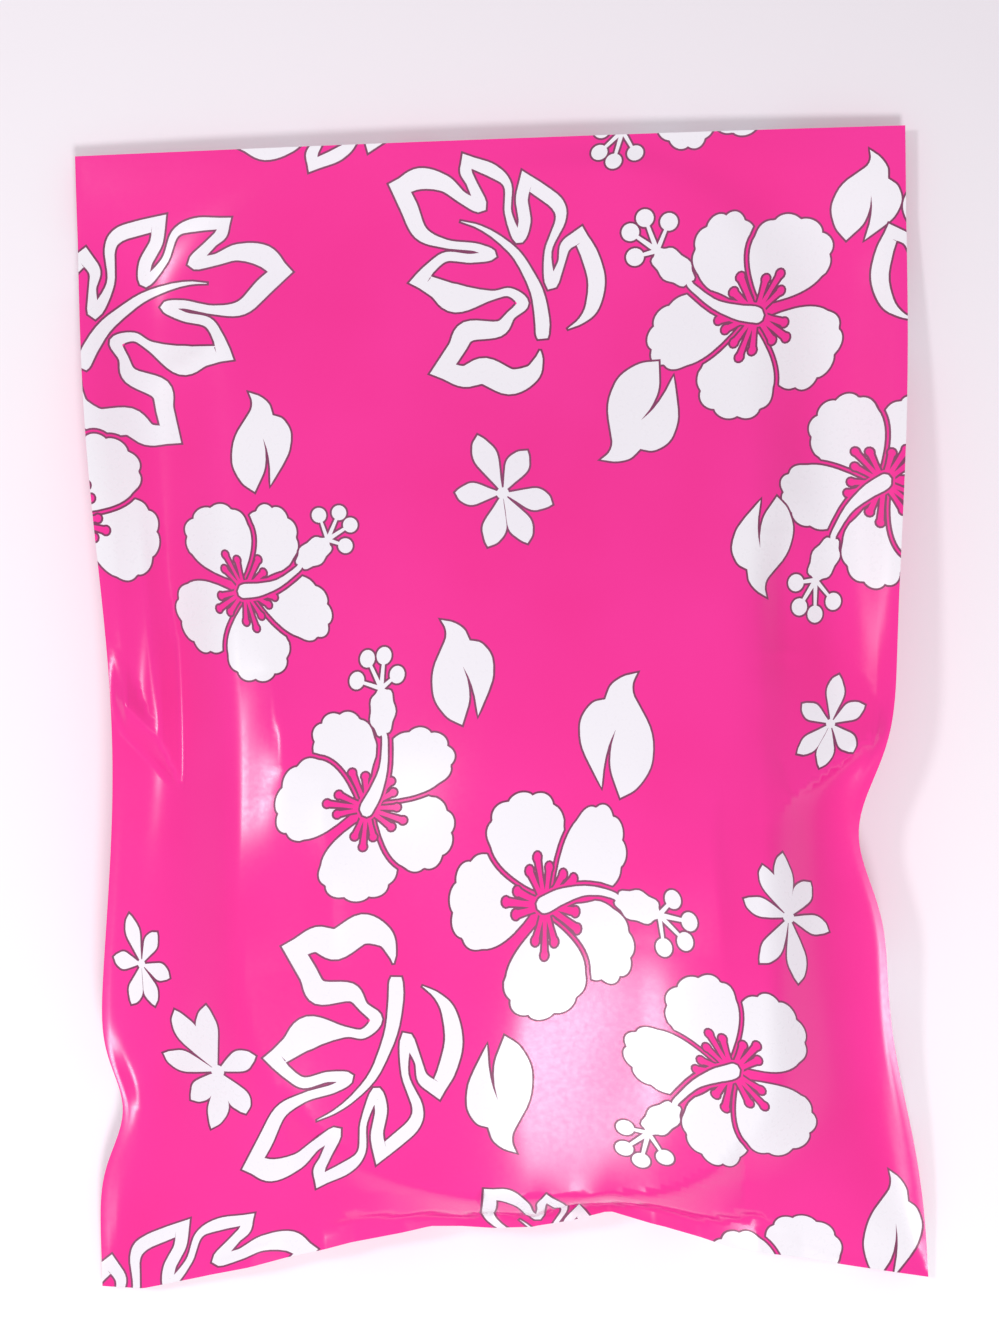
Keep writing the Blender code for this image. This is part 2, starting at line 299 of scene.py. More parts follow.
def edge_height(across, up):
    """Height of the bag's edge over the table, carried smoothly across the panel between opposite edges."""
    share = np.clip(np.abs(across) / (BAG_WIDTH / 2), 0.0, 1.0)
    t = np.clip(up / BAG_LENGTH, 0.0, 1.0)
    rise = np.sin(math.pi * np.clip(t * SIDE_RISE_SHARE, 0, 1)) ** SIDE_RISE_SHARPNESS
    side = SIDE_EDGE_HEIGHT * rise + CORNER_HEIGHT * (1 - t) + TOP_CORNER_HEIGHT * t
    middle = 1 - share**2
    bottom = CORNER_HEIGHT + (BOTTOM_EDGE_HEIGHT - CORNER_HEIGHT) * middle
    top = TOP_CORNER_HEIGHT + (TOP_EDGE_HEIGHT - TOP_CORNER_HEIGHT) * middle
    least = FILM / BAG_LENGTH
    weights = [1 / (d + least) ** 2 for d in (1 - share, t, 1 - t)]
    return (side * weights[0] + bottom * weights[1] + top * weights[2]) / sum(weights)


def pack_inset(x, y):
    """Distance in from the pack's rounded outline, negative outside it."""
    middle_y = PACK_END_GAP + (PACK_LENGTH - BAG_LENGTH) / 2
    corner = np.where((x < PACK_SHIFT) & (y < middle_y), PACK_SLACK_CORNER, PACK_CORNER)
    dx = np.abs(x - PACK_SHIFT) - PACK_WIDTH / 2 + corner
    dy = np.abs(y - middle_y) - PACK_LENGTH / 2 + corner
    outside = np.hypot(np.maximum(dx, 0), np.maximum(dy, 0)) + np.minimum(np.maximum(dx, dy), 0)
    return corner - outside


def top_part(y):
    """0 in the bag's lower part and 1 in its upper part."""
    up = y + BAG_LENGTH / 2
    return smoothstep((up - TOP_PART_FROM) / (TOP_PART_FULL - TOP_PART_FROM))


def pack_top(x, y):
    """Height of the pack's upper side, with its falls to both ends and sides and its swells."""
    along = y + BAG_LENGTH / 2 - PACK_END_GAP
    to_top = smoothstep((along - PACK_FALL_FROM) / (PACK_LENGTH - PACK_FALL_FROM))
    to_low = np.clip(1 - along / PACK_FALL_FROM, 0, 1) ** 2
    height = PACK_HEIGHT - (PACK_HEIGHT - PACK_TOP_END_HEIGHT) * to_top
    height = height - (PACK_HEIGHT - PACK_LOW_END_HEIGHT) * to_low
    side_fall = LOW_SIDE_FALL + (TOP_SIDE_FALL - LOW_SIDE_FALL) * top_part(y)
    to_side = smoothstep((np.abs(x - CREST_SHIFT) - SIDE_FALL_FROM) / SIDE_FALL_WIDTH)
    height = height * (1 - side_fall * to_side)
    for length, direction, phase in SWELLS:
        run = x * math.cos(math.radians(direction)) + y * math.sin(math.radians(direction))
        height = height + length * SWELL_SLOPE * np.sin(2 * math.pi * run / length + math.radians(phase))
    return height


def end_share(x, y, across):
    """How far the film is lifted over the pack's low end: 1 on the pack, and 0 at the bottom fold."""
    corner = np.where(x < PACK_SHIFT, PACK_SLACK_CORNER, PACK_CORNER)
    beside = np.clip(np.abs(x - PACK_SHIFT) - PACK_WIDTH / 2 + corner, 0, CORNER_SHARE * corner)
    low_end = PACK_END_GAP - BAG_LENGTH / 2 + corner - np.sqrt(corner**2 - beside**2)
    fold = outline_grid(across, 0.0 * across)[1]
    past = np.maximum(low_end - y, 0) / (low_end - fold)
    fall = np.hypot(past, END_ROUND_SHARE) - END_ROUND_SHARE
    return 1 - fall / (math.hypot(1, END_ROUND_SHARE) - END_ROUND_SHARE)


def smaller(a, b):
    """The smaller of two shares, with a soft change from one to the other."""
    parts = [np.maximum(share, LEAST_LIFT) ** -LIFT_BLEND for share in (a, b)]
    return (sum(parts) - 1) ** (-1 / LIFT_BLEND)


def fill_share(x, y, across, up):
    """How far the film is lifted: 1 on the pack, 0 at the bag's edge, and taut between."""
    edges = (BAG_WIDTH / 2 - np.abs(across), up, BAG_LENGTH - up)
    to_edge = sum((np.maximum(d, 0) + FILM) ** -EDGE_BLEND for d in edges) ** (-1 / EDGE_BLEND)
    away = np.maximum(PACK_OVERHANG - pack_inset(x, y), 0)
    return to_edge / (to_edge + np.hypot(away, PACK_ROUND) - PACK_ROUND)


def crease(across, up, side, start, end, height, reach_left, reach_right):
    """A crisp ridge or a soft valley along a line on the film, fading at both ends."""
    weld = side * BAG_WIDTH / 2
    ax, ay = weld - side * start[0] * MM, start[1] * MM
    bx, by = weld - side * end[0] * MM, end[1] * MM
    length = math.hypot(bx - ax, by - ay)
    ux, uy = (bx - ax) / length, (by - ay) / length
    along = ((across - ax) * ux + (up - ay) * uy) / length
    off = (up - ay) * ux - (across - ax) * uy
    reach = np.where(off > 0, reach_left, reach_right) * MM
    mean_reach = (reach_left + reach_right) / 2 * MM
    past = np.maximum(np.maximum(-along, along - 1), 0) * length
    fade = CREASE_END_SHARE + (1 - CREASE_END_SHARE) * np.sin(math.pi * np.clip(along, 0, 1))
    away = np.hypot(off / reach, past / mean_reach)
    crest_round = CREST_ROUND / mean_reach
    crest = np.exp(crest_round - np.hypot(away, crest_round))
    return height * MM * fade * (crest if height > 0 else bump(away, 1.0))


def pinch(across, up):
    """A corner of film pinched up: flat and light between its two crests, and steep past them."""
    dx, dy = across - PINCH_TIP[0], up - PINCH_TIP[1]
    upper, lower = (math.radians(angle) for angle in PINCH_DIRECTIONS)
    past_upper = dx * math.sin(upper) - dy * math.cos(upper)
    past_lower = dy * math.cos(lower) - dx * math.sin(lower)
    past = (past_upper + past_lower + np.hypot(past_upper - past_lower, PINCH_ROUND)) / 2
    away = np.hypot(past, PINCH_ROUND) - PINCH_ROUND
    fall = np.where(past > 0, np.maximum(1 - away / PINCH_STEEP, 0), np.exp(-away / PINCH_GENTLE))
    return PINCH_HEIGHT * fall * bump(np.hypot(dx, dy), PINCH_FADE)


def panel_heights(x, y, across, up):
    """Heights of the front and the back panel at each grid point."""
    edge = edge_height(across, up)
    fill = fill_share(x, y, across, up)
    high = top_part(y)
    hollow = LOW_HOLLOW + (TOP_HOLLOW - LOW_HOLLOW) * high
    sag = SAG * (4 * fill * (1 - fill)) ** 2 * high * smoothstep((BAG_LENGTH - up) / SAG_END)
    inset = np.minimum(np.minimum(BAG_WIDTH / 2 - np.abs(across), up), BAG_LENGTH - up)
    folds = pinch(across, up) + sum(crease(across, up, *line) for line in CREASES)
    folds = folds * smoothstep(inset / CREASE_RIM)
    lift = smaller(fill**hollow, end_share(x, y, across))
    front = edge + (pack_top(x, y) - edge) * lift - sag + folds
    back = edge * (1 - smoothstep(fill / BACK_LANDING) ** BACK_HOLLOW)
    front = np.maximum(front, back)
    knots, widths, rises = zip(*LIP)
    width = np.interp(across, knots, widths)
    flat = (1 - smoothstep((up - width) / LIP_STEP)) * (width > 0)
    front = front + (edge_height(across, 0.0 * across) + LIP_SLOPE * up - front) * flat
    rise = np.interp(across, knots, rises) * np.exp(-((up / LIP_FADE) ** 2))
    over_flap = smoothstep(1 + (up - BAG_LENGTH + FLAP_LENGTH) / WELD_WIDTH) * FLAP_STEP
    back = np.maximum(back + rise - FILM, over_flap)
    return np.maximum(front + rise, back + FILM) + FILM, back


def film_points(across, up):
    """Places of points of the front and the back panel, given by their film coordinates."""
    x, y = outline_grid(across, up)
    front, back = panel_heights(x, y, across, up)
    return np.stack((x, y, front), -1), np.stack((x, y, back), -1)


def spline_weights(fraction):
    """Catmull-Rom weights of the four samples round a place between the middle two."""
    f = fraction
    return (
        0.5 * f * (f * (2 - f) - 1),
        0.5 * (f * f * (3 * f - 5) + 2),
        0.5 * f * (f * (4 - 3 * f) + 1),
        0.5 * f * f * (f - 1),
    )


class Panel:
    """One panel of the bag. Past its rim it goes on as a straight line."""

    def __init__(self, is_front, lowered=0.0):
        self.is_front, self.lowered = is_front, lowered

    def on_film(self, across, up):
        front, back = film_points(across, up)
        return (front if self.is_front else back) - (0, 0, self.lowered)

    def at(self, across, up):
        """Positions of film points."""
        across, up = np.asarray(across, float), np.asarray(up, float)
        near_across = np.clip(across, -BAG_WIDTH / 2, BAG_WIDTH / 2)
        near_up = np.clip(up, 0, BAG_LENGTH)
        points = self.on_film(near_across, near_up)
        past_across, past_up = across - near_across, up - near_up
        inner = self.on_film(near_across - np.sign(past_across) * SLOPE_REACH, near_up)
        lower = self.on_film(near_across, near_up - np.sign(past_up) * SLOPE_REACH)
        points = points + (points - inner) * (np.abs(past_across) / SLOPE_REACH)[..., None]
        return points + (points - lower) * (np.abs(past_up) / SLOPE_REACH)[..., None]

    def normal(self, across, up):
        """Unit normals, with +Z up for a front panel."""
        left = np.maximum(across - SLOPE_REACH, -BAG_WIDTH / 2)
        right = np.minimum(across + SLOPE_REACH, BAG_WIDTH / 2)
        low, high = np.maximum(up - SLOPE_REACH, 0), np.minimum(up + SLOPE_REACH, BAG_LENGTH)
        n = np.cross(self.on_film(right, up) - self.on_film(left, up),
                     self.on_film(across, high) - self.on_film(across, low))
        return n / np.linalg.norm(n, axis=-1, keepdims=True)


# Shapes of the print, in units of their own length, each a list of (polygon, colour) painted in order

WHITE, LINE, PINK = "white", "line", "pink"
# White that keeps a gap from the white painted before it, and a line that is painted on white alone
APART, CUT = "apart", "cut"
PETAL_GAP = 0.45 * MM
LINE_WIDTH = 0.48 * MM
SHARPEST_TURN = 0.35
SHARPEST_CORNER = 0.5


def smooth_through(points, closed=False, per_span=8):
    """A curve through the points. A point with a truthy last value is a corner."""
    xy = np.array([p[:-1] for p in points], float)
    corner = [bool(p[-1]) for p in points]
    count = len(xy)
    spans = count if closed else count - 1
    out = []
    for k in range(spans):
        b, c = xy[k], xy[(k + 1) % count]
        a = xy[k - 1] if (k > 0 or closed) and not corner[k] else 2 * b - c
        after = (k + 2) % count if closed else k + 2
        has_after = closed or k + 2 < count
        d = xy[after] if has_after and not corner[(k + 1) % count] else 2 * c - b
        w = spline_weights(np.arange(per_span)[:, None] / per_span)
        out.append(w[0] * a + w[1] * b + w[2] * c + w[3] * d)
    if not closed:
        out.append(xy[-1:])
    return np.concatenate(out)


def stroke(points, per_span=6):
    """A brush stroke along a curve: each point gives x, y, width and whether it is a corner."""
    path = smooth_through(points, per_span=per_span)
    xy, width = path[:, :2], np.maximum(path[:, 2:3], 0.0)
    step = np.diff(xy, axis=0)
    step /= np.linalg.norm(step, axis=1, keepdims=True) + NEVER_ZERO
    before = np.concatenate((step[:1], step))
    after = np.concatenate((step, step[-1:]))
    along = before + after
    along /= np.linalg.norm(along, axis=1, keepdims=True) + TINY
    side = np.stack((-along[:, 1], along[:, 0]), 1)
    turn = np.clip((before * along).sum(1, keepdims=True), SHARPEST_TURN, 1.0)
    reach = 0.5 * width / turn
    return np.concatenate((xy + side * reach, (xy - side * reach)[::-1]))


def disc(x, y, radius_x, radius_y=None, count=20):
    a = np.arange(count) * 2 * math.pi / count
    return np.stack((x + radius_x * np.cos(a), y + (radius_y or radius_x) * np.sin(a)), 1)


def turned(points, angle):
    c, s = math.cos(angle), math.sin(angle)
    return points @ np.array(((c, s), (-s, c)))


def area_of(polygon):
    x, y = polygon[:, 0], polygon[:, 1]
    return 0.5 * np.sum(x * np.roll(y, -1) - y * np.roll(x, -1))


def wider(polygon, by):
    """The polygon with each side moved out by a distance, or in where it is negative."""
    if area_of(polygon) < 0:
        polygon = polygon[::-1]
    step = np.roll(polygon, -1, 0) - polygon
    length = np.linalg.norm(step, axis=1, keepdims=True)
    step /= length + NEVER_ZERO
    out = np.stack((step[:, 1], -step[:, 0]), 1)
    both = out + np.roll(out, 1, 0)
    both /= np.linalg.norm(both, axis=1, keepdims=True) + TINY
    reach = by / np.clip((both * out).sum(1, keepdims=True), SHARPEST_CORNER, 1.0)
    return polygon + both * reach


# A petal: where its sides start and end along it, their half width at the throat, how far they swell and the
# power that rounds them, then its scalloped cap: its width and the power that rounds it, the number, phase,
# depth and power of the scallops, and how many points a side and the cap have
PETAL_START, PETAL_CAP = 0.14, 0.64
PETAL_NECK, PETAL_SWELL, SWELL_POWER = 0.10, 0.88, 0.9
CAP_WIDTH, CAP_POWER = 0.91, 0.8
SCALLOPS, SCALLOP_PHASE, SCALLOP_DEPTH, SCALLOP_POWER = 4.4, 0.5, 0.11, 0.7
SIDE_POINTS, CAP_POINTS = 12, 46
# Petals of the hibiscus: direction from the pistil, length, half width, lean
PETALS = (
    (27, 1.15, 0.35, -0.06),
    (86, 1.05, 0.46, -0.06),
    (182, 1.06, 0.43, 0.02),
    (254, 1.04, 0.43, 0.06),
    (-36, 1.16, 0.36, 0.08),
)
# The throat: place and radius, then the round of its streaks' ends, their width at shares of their length,
# and their direction and length
THROAT = (0.02, 0.02, 0.14)
STREAK_END = 0.065
STREAK_BRUSH = ((0.0, 0.10), (0.6, 0.09), (1.0, 0.11))
STREAKS = (
    (12, 0.36), (32, 0.44), (72, 0.36), (90, 0.46), (108, 0.34), (166, 0.34), (184, 0.44), (202, 0.34),
    (240, 0.36), (258, 0.44), (-82, 0.34), (-52, 0.34), (-34, 0.40),
)
PISTIL = (
    (-0.01, -0.09, 0.05, 1), (0.00, -0.05, 0.13, 0), (0.01, 0.02, 0.16, 0), (0.07, 0.19, 0.14, 0),
    (0.114, 0.466, 0.085, 0), (0.082, 0.775, 0.06, 0), (0.05, 0.86, 0.06, 0),
)
# The pistil's head: place, half width and length, turn in degrees, its lobes' number and depth, and how many
# points it has
PISTIL_HEAD = (0.00, 1.10)
HEAD_SIZE = (0.14, 0.27)
HEAD_TURN = 7
HEAD_LOBES, LOBE_DEPTH = 7, 0.07
HEAD_POINTS = 40
# Where the threads of the stamens start, their width at both ends, and where they end
PISTIL_TIP = (-0.054, 1.35)
THREAD_START, THREAD_END = 0.05, 0.03
STAMENS = ((-0.262, 1.663), (-0.079, 1.721), (-0.345, 1.404), (0.102, 1.529))
STAMEN_SIZE = (0.085, 0.10)


def petal(length, half_width, lean):
    """A petal along +Y with a scalloped outer edge and sides that run together at the throat."""
    q = np.linspace(0, 1, SIDE_POINTS)[:-1]
    rise = PETAL_START + (PETAL_CAP - PETAL_START) * q
    width = PETAL_NECK + PETAL_SWELL * np.sin(0.5 * math.pi * q) ** SWELL_POWER
    a = np.linspace(0, math.pi, CAP_POINTS)
    wave = CAP_WIDTH + SCALLOP_DEPTH * np.abs(np.sin(SCALLOPS * a + SCALLOP_PHASE)) ** SCALLOP_POWER
    cap_x = np.cos(a) * wave
    cap_y = PETAL_CAP + (1 - PETAL_CAP) * np.sin(a) ** CAP_POWER * wave
    x = np.concatenate((width, cap_x, -width[::-1]))
    y = np.concatenate((rise, cap_y, rise[::-1]))
    x = x * half_width + lean * y**2
    return np.stack((x, y * length), 1)


def hibiscus():
    """A five-petalled hibiscus with its pistil along +Y from the throat at the origin."""
    layers = []
    for direction, length, half_width, lean in PETALS:
        layers.append((turned(petal(length, half_width, lean), math.radians(direction)), APART))
    layers.append((disc(*THROAT), PINK))
    for direction, length in STREAKS:
        line = [(0, share * length, width, 0) for share, width in STREAK_BRUSH]
        layers.append((turned(stroke(line, 3), math.radians(direction)), PINK))
        layers.append((turned(disc(0, length, STREAK_END, count=12), math.radians(direction)), PINK))
    layers.append((stroke(PISTIL), APART))
    head = disc(0, 0, *HEAD_SIZE, count=HEAD_POINTS)
    lobes = np.cos(HEAD_LOBES * 2 * math.pi * np.arange(HEAD_POINTS) / HEAD_POINTS)
    head = head * (1 + LOBE_DEPTH * lobes)[:, None]
    layers.append((turned(head, math.radians(HEAD_TURN)) + PISTIL_HEAD, WHITE))
    layers.append((stroke(PISTIL), WHITE))
    for x, y in STAMENS:
        thread = ((*PISTIL_TIP, THREAD_START, 0), (x, y, THREAD_END, 0))
        layers.append((stroke(thread, 2), WHITE))
        layers.append((disc(x, y, *STAMEN_SIZE), WHITE))
    return layers


# Petals of the small flowers: direction from the first, length; then a width for six of them, and the middle
SIX_PETALS = ((0, 1.00), (-50, 0.75), (-127, 0.76), (-177, 0.88), (144, 0.86), (66, 0.70))
SEVEN_PETALS = ((0, 1.00), (-35, 0.72), (-103, 0.65), (-170, 1.03), (152, 0.87), (74, 0.68), (24, 0.84))
SPLAYED_PETALS = ((0, 0.95), (-74, 0.58), (-156, 0.73), (168, 0.85), (128, 0.60), (65, 0.76), (25, 1.02))
SMALL_PETAL_WIDTH = 0.31
SMALL_MIDDLE = 0.09
# Half a small petal: its base, its neck with y as a share of its length, its belly and shoulder with x as a
# share of its width too, and how far its tip lies to one side
SMALL_BASE, SMALL_NECK = (0.01, 0.03), (0.06, 0.22)
SMALL_BELLY, SMALL_SHOULDER = (0.56, 0.62), (0.34, 0.88)
SMALL_TIP = 0.03


def small_flower(petals):
    """Narrow pointed petals round a small middle. Fewer petals are wider."""
    layers = []
    width = SMALL_PETAL_WIDTH * 6 / len(petals)
    for direction, length in petals:
        half = [(*SMALL_BASE, 1), (SMALL_NECK[0], SMALL_NECK[1] * length, 0)]
        half += [(x * width, y * length, 0) for x, y in (SMALL_BELLY, SMALL_SHOULDER)]
        other = [(-x, y, c) for x, y, c in half[::-1]]
        rim = smooth_through((*half, (SMALL_TIP, length, 1), *other), closed=True, per_span=5)
        layers.append((turned(rim, math.radians(direction)), WHITE))
    layers.append((disc(0, 0, SMALL_MIDDLE), WHITE))
    return layers


def six_petals():
    return small_flower(SIX_PETALS)


def seven_petals():
    return small_flower(SEVEN_PETALS)


def splayed_petals():
    return small_flower(SPLAYED_PETALS)


def slit_leaf():
    """A plump leaf round the origin, its tip along +Y, with a slit up from its base."""
    points = (
        (0.18, 0.50, 1), (0.06, 0.47, 0), (-0.04, 0.40, 0), (-0.09, 0.29, 1), (-0.20, 0.26, 0),
        (-0.29, 0.14, 0), (-0.30, -0.02, 0), (-0.26, -0.16, 0), (-0.13, -0.42, 1), (-0.11, -0.24, 0),
        (-0.07, -0.08, 0), (-0.01, 0.05, 1), (-0.05, -0.10, 0), (-0.05, -0.28, 0), (0.03, -0.50, 1),
        (0.17, -0.42, 0), (0.28, -0.26, 0), (0.30, -0.08, 0), (0.27, 0.07, 0), (0.19, 0.23, 0),
        (0.14, 0.33, 0), (0.14, 0.42, 0),
    )
    return [(smooth_through(points, closed=True, per_span=5), WHITE)]


# The lobed leaf drawn in outline: x, y, width of the brush in millimetres, corner. Its vein runs along +Y.
LEAF_EDGE = (
    (-0.6, -2.8, 0.2, 1), (-0.9, -4.9, 1.9, 0), (-2.6, -8.1, 4.0, 0), (-7.4, -9.9, 5.8, 0),
    (-13.2, -7.5, 6.0, 0), (-17.9, -8.7, 4.8, 0), (-22.8, -7.1, 3.8, 1), (-19.7, -2.3, 3.9, 0),
    (-17.2, 1.6, 4.6, 0), (-10.2, 2.2, 3.5, 0), (-7.4, 5.3, 2.0, 0), (-4.7, 8.1, 2.6, 0),
    (-7.7, 10.6, 1.9, 0), (-11.9, 9.9, 2.1, 0), (-19.8, 9.2, 6.4, 0), (-24.5, 11.6, 4.4, 0),
    (-28.3, 13.4, 3.2, 1), (-25.8, 16.4, 2.3, 0), (-22.3, 18.8, 2.1, 0), (-16.8, 18.4, 2.0, 0),
    (-12.2, 19.2, 2.3, 0), (-15.7, 20.9, 1.8, 0), (-22.5, 21.7, 1.9, 0), (-28.3, 24.2, 3.2, 0),
    (-31.2, 30.2, 3.9, 0), (-33.4, 34.5, 3.6, 1), (-28.7, 36.5, 4.7, 0), (-23.1, 35.4, 3.6, 0),
    (-18.9, 32.2, 2.5, 0), (-14.9, 30.5, 3.0, 0), (-16.7, 35.2, 2.2, 0), (-18.1, 37.9, 2.6, 0),
    (-17.9, 40.4, 2.4, 1), (-12.0, 38.1, 2.9, 0), (-8.5, 34.9, 1.7, 0), (-8.3, 28.7, 1.5, 0),
    (-5.9, 23.1, 2.4, 0), (-4.5, 26.6, 2.7, 0), (-5.2, 31.7, 2.7, 0), (-4.3, 35.8, 2.9, 1),
    (-0.9, 33.6, 3.1, 0), (3.0, 30.5, 3.0, 0), (3.7, 26.8, 2.2, 0), (1.0, 19.9, 1.5, 0), (1.8, 12.8, 2.7, 0),
    (4.0, 17.2, 1.5, 0), (5.0, 21.1, 2.4, 0), (8.2, 23.4, 3.0, 1), (10.6, 18.9, 3.8, 0), (12.2, 13.2, 3.8, 0),
    (11.3, 7.4, 3.0, 0), (8.9, 4.2, 1.4, 0), (5.8, 2.3, 0.1, 1),
)
LEAF_VEIN = (
    (0.0, 0.0, 2.2, 0), (-0.1, 1.2, 3.0, 0), (-0.2, 4.5, 3.2, 0), (-1.3, 10.2, 2.8, 0), (-3.6, 15.1, 2.3, 0),
    (-6.6, 19.6, 1.9, 0), (-11.1, 23.4, 1.3, 0), (-15.3, 25.7, 0.7, 0), (-19.1, 26.8, 0.1, 1),
)
LEAF_SPAN = 50.0


def outlined_leaf():
    """A lobed leaf drawn as one brushed outline and a vein."""
    layers = []
    for line in (LEAF_EDGE, LEAF_VEIN):
        scaled = [(x / LEAF_SPAN, y / LEAF_SPAN, w / LEAF_SPAN, c) for x, y, w, c in line]
        layers.append((stroke(scaled), WHITE))
    return layers


# Where the shapes lie in the view: shape, millimetres right of and above the bag's middle, size in
# millimetres, turn to the left in degrees, whether it is mirrored, breadth against its length, and the point
# of the shape that lies there
MIDDLE = (0.0, 0.0)
LEAF_TIP_THREE, LEAF_TIP_FOUR, LEAF_TIP_FIVE = (-0.668, 0.690), (-0.358, 0.808), (-0.086, 0.716)
LEAF_CRESCENT = (0.244, 0.264)
FRONT_PRINT = (
    (hibiscus, 57.4, 90.4, 20.2, 58, True, 1.22, MIDDLE),
    (hibiscus, 86.5, 52.2, 20.0, 142, False, 1.14, MIDDLE),
    (hibiscus, -58.8, 27.6, 17.0, -64, False, 1.22, MIDDLE),
    (hibiscus, -31.0, -21.8, 20.6, -10, False, 1.00, MIDDLE),
    (hibiscus, 9.5, -43.8, 19.8, -92, True, 1.34, MIDDLE),
    (hibiscus, 52.1, -81.7, 21.2, 131, False, 1.08, MIDDLE),
    (six_petals, -0.1, 49.8, 14.8, 23, False, 1.04, MIDDLE),
    (six_petals, 74.4, -2.6, 11.2, -7, False, 1.18, MIDDLE),
    (seven_petals, 64.9, -46.6, 15.0, -5, False, 1.22, MIDDLE),
    (six_petals, -82.2, -57.2, 12.2, 19, False, 0.78, MIDDLE),
    (splayed_petals, -64.9, -81.6, 16.8, 5, False, 1.11, MIDDLE),
    (slit_leaf, -54.9, 61.2, 23.2, -7, True, 0.95, MIDDLE),
    (slit_leaf, 31.5, 67.6, 26.4, 158, False, 1.06, MIDDLE),
    (slit_leaf, 58.9, 38.3, 22.9, 165, True, 1.02, MIDDLE),
    (slit_leaf, -9.3, 9.2, 24.6, 2, True, 0.94, MIDDLE),
    (slit_leaf, 25.9, -5.3, 29.0, 1, False, 0.98, MIDDLE),
    (slit_leaf, -0.9, -86.9, 30.4, 177, True, 0.78, MIDDLE),
    (slit_leaf, 83.0, 116.6, 20.8, -25, True, 1.17, MIDDLE),
    (slit_leaf, 88.8, -117.2, 26.9, -17, True, 0.76, MIDDLE),
    (outlined_leaf, 9.0, 84.9, 51.8, -2, False, 0.96, MIDDLE),
    (outlined_leaf, -95.8, 78.2, 53.8, -22, True, 0.98, MIDDLE),
    (outlined_leaf, -24.3, -60.2, 62.4, 180, True, 0.82, MIDDLE),
    (outlined_leaf, -72.9, -117.2, 53.4, -21, True, 1.0, LEAF_TIP_FIVE),
    (outlined_leaf, 85.6, 98.6, 50.0, 6, True, 1.0, LEAF_CRESCENT),
    (outlined_leaf, -43.2, 124.4, 50.0, 180, True, 1.0, LEAF_TIP_FOUR),
    (outlined_leaf, -3.0, -109.6, 38.0, -30, False, 1.0, LEAF_TIP_THREE),
    (hibiscus, -98.6, 43.4, 20.0, 70, False, 1.1, MIDDLE),
    (hibiscus, 46.8, 149.6, 19.6, 128, False, 1.03, MIDDLE),
    (hibiscus, 66.5, -132.6, 20.2, 170, False, 1.0, MIDDLE),
)


def placed(shape, size, turn, mirrored, breadth, point, middle):
    """A shape's layers in film coordinates, with a dark line round what is white."""
    drawn, group = [], []
    for polygon, colour in shape():
        flip = -breadth if mirrored else breadth
        polygon = (polygon - point) * size * MM * (flip, 1)
        polygon = turned(polygon, math.radians(turn)) + middle
        if area_of(polygon) < 0:
            polygon = polygon[::-1]
        if group and (group[-1][1] != colour or colour == APART):
            drawn.extend(inked(group))
            group = []
        group.append((polygon, colour))
    drawn.extend(inked(group))
    return drawn


def inked(group):
    """A run of polygons of one colour, with a line outside what is white and inside what is cut out."""
    lined = []
    for polygon, colour in group:
        if colour == APART:
            lined.append((wider(polygon, 2 * LINE_WIDTH + PETAL_GAP), CUT))
            lined.append((wider(polygon, LINE_WIDTH + PETAL_GAP), PINK))
        lined.append((polygon if colour == PINK else wider(polygon, LINE_WIDTH), LINE))
    for polygon, colour in group:
        lined.append((wider(polygon, -LINE_WIDTH), PINK) if colour == PINK else (polygon, WHITE))
    return lined


class View:
    """The picture's own plane: where a film point shows, and which film point shows at a place."""

    def __init__(self, panel):
        self.panel = panel
        half = BAG_WIDTH / 2
        self.across, self.up = region_grid(((-half, 0.0), (half, BAG_LENGTH)), VIEW_STEP)
        self.seen = self.project(panel.at(self.across, self.up))

    def project(self, points):
        """Place in the view, in metres at SCALE_HEIGHT, right of and above the bag's middle."""
        scale = (CAMERA_HEIGHT - SCALE_HEIGHT) / (CAMERA_HEIGHT - points[..., 2])
        x = (points[..., 0] - CAMERA_OVER[0]) * scale + CAMERA_OVER[0]
        y = (points[..., 1] - CAMERA_OVER[1]) * scale + CAMERA_OVER[1]
        c, s = math.cos(CAMERA_ROLL), math.sin(CAMERA_ROLL)
        return np.stack((c * x + s * y, c * y - s * x), -1)

    def film_point(self, right, above):
        """The film coordinates seen at a place in the view."""
        wanted = np.array((right, above)) * MM
        miss = np.linalg.norm(self.seen - wanted, axis=-1)
        j, i = np.unravel_index(np.argmin(miss), miss.shape)
        st = np.array((self.across[j, i], self.up[j, i]))
        for _ in range(VIEW_ROUNDS):
            here = self.project(self.panel.at(st[0], st[1]))
            along_s = self.project(self.panel.at(st[0] + VIEW_REACH, st[1])) - here
            along_t = self.project(self.panel.at(st[0], st[1] + VIEW_REACH)) - here
            slope = np.stack((along_s, along_t), 1) / VIEW_REACH
            step = np.linalg.solve(slope, wanted - here)
            st = st + np.clip(step, -VIEW_LONGEST, VIEW_LONGEST)
        return st


def winding(polygon, x, y):
    """Whether each point is inside the polygon, by crossings of a ray."""
    inside = np.zeros(len(x), int)
    ax, ay = polygon[:, 0], polygon[:, 1]
    bx, by = np.roll(ax, -1), np.roll(ay, -1)
    for k in range(len(ax)):
        rising = (ay[k] <= y) & (by[k] > y)
        falling = (ay[k] > y) & (by[k] <= y)
        side = (bx[k] - ax[k]) * (y - ay[k]) - (x - ax[k]) * (by[k] - ay[k])
        inside += (rising & (side > 0)).astype(int) - (falling & (side < 0)).astype(int)
    return inside != 0


